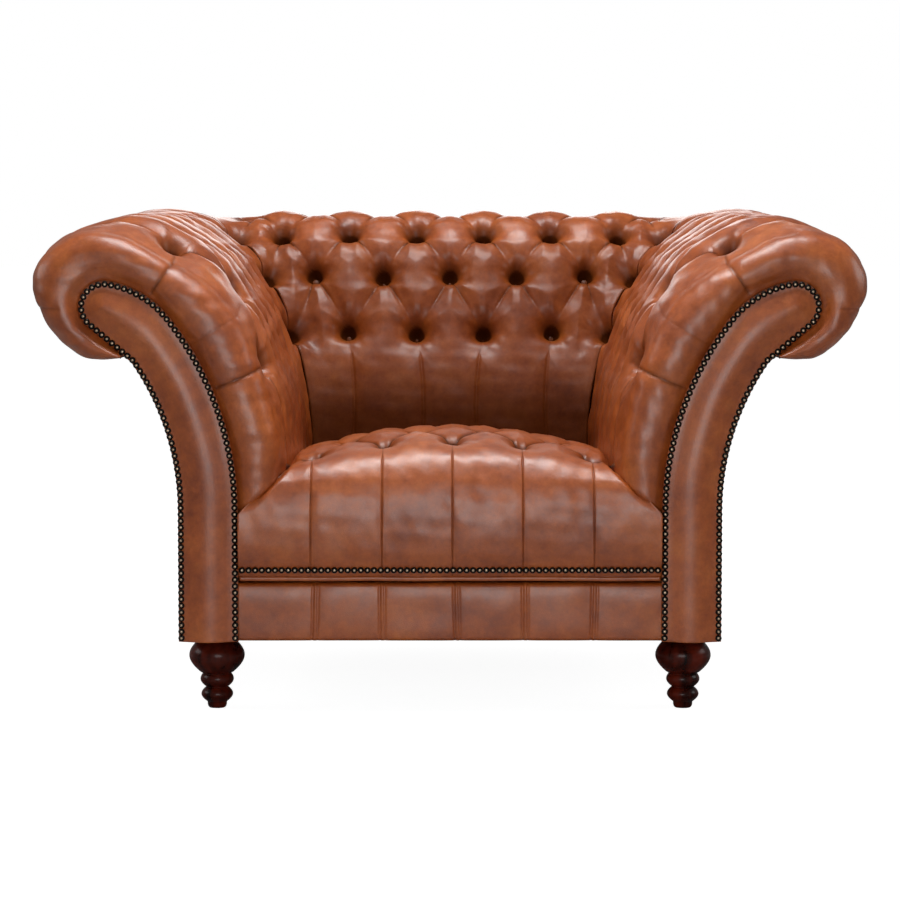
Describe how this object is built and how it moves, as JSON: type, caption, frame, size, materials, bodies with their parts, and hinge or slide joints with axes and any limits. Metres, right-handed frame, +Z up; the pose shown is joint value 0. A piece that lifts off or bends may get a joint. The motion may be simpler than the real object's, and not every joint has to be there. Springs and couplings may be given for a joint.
{
  "type": "upholstered armchair",
  "caption": "Wide low armchair with scrolled arms, deep-buttoned leather back, arms and seat, close-nailed trims and turned dark wood feet.",
  "frame": {"origin": "on the floor, under the middle of the chair's box", "axes": "+Z up, the front faces -Y, +X to the right hand of a person who faces the chair"},
  "size_m": [1.3, 0.95, 0.775],
  "materials": {
    "leather": "hand-antiqued aniline leather in a mid chestnut tan, mottled, with a soft waxed sheen and darker creases",
    "foot_timber": "turned hardwood in a dark mahogany stain with glossy lacquer",
    "nail_bronze": "domed upholstery nails, antiqued dark bronze with polished tops",
    "frame_timber": "planed beech, unfinished",
    "plywood": "birch plywood, sawn edges",
    "stuffing": "fibre-wrapped foam stuffing",
    "hessian": "plain woven hessian",
    "dust_cloth": "black non-woven dust cloth",
    "spring_steel": "oil-hardened spring wire",
    "bolt_steel": "zinc-plated hanger bolts"
  },
  "bodies": {
    "root": {"back_hessian": "hessian", "back_stuff_rail": "frame_timber", "back_stuffing": "stuffing", "back_top_rail": "frame_timber", "centre_back_rib": "plywood", "dust_cover": "dust_cloth", "front_base_rail": "frame_timber", "front_border": "leather", "inside_back_cover": "leather", "left_arm_front_roll": "leather", "left_arm_hessian": "hessian", "left_arm_rail": "frame_timber", "left_arm_stuff_rail": "frame_timber", "left_arm_stuffing": "stuffing", "left_back_rib": "plywood", "left_base_rail": "frame_timber", "left_facing_board": "plywood", "left_facing_nails": "nail_bronze", "left_facing_panel": "leather", "left_front_corner_block": "frame_timber", "left_front_foot": "foot_timber", "left_front_foot_bolt": "bolt_steel", "left_inside_arm_cover": "leather", "left_outside_arm_cover": "leather", "left_rear_arm_board": "plywood", "left_rear_corner_block": "frame_timber", "left_rear_foot": "foot_timber", "left_rear_foot_bolt": "bolt_steel", "outside_back_cover": "leather", "rear_base_rail": "frame_timber", "rear_seat_rail": "frame_timber", "right_arm_front_roll": "leather", "right_arm_hessian": "hessian", "right_arm_rail": "frame_timber", "right_arm_stuff_rail": "frame_timber", "right_arm_stuffing": "stuffing", "right_back_rib": "plywood", "right_base_rail": "frame_timber", "right_facing_board": "plywood", "right_facing_nails": "nail_bronze", "right_facing_panel": "leather", "right_front_corner_block": "frame_timber", "right_front_foot": "foot_timber", "right_front_foot_bolt": "bolt_steel", "right_inside_arm_cover": "leather", "right_outside_arm_cover": "leather", "right_rear_arm_board": "plywood", "right_rear_corner_block": "frame_timber", "right_rear_foot": "foot_timber", "right_rear_foot_bolt": "bolt_steel", "seat_cover": "leather", "seat_front_edge": "stuffing", "seat_nails": "nail_bronze", "seat_piping": "leather", "seat_platform": "hessian", "seat_spring_1": "spring_steel", "seat_spring_2": "spring_steel", "seat_spring_3": "spring_steel", "seat_spring_4": "spring_steel", "seat_stuffing": "stuffing"}
  },
  "joints": []
}
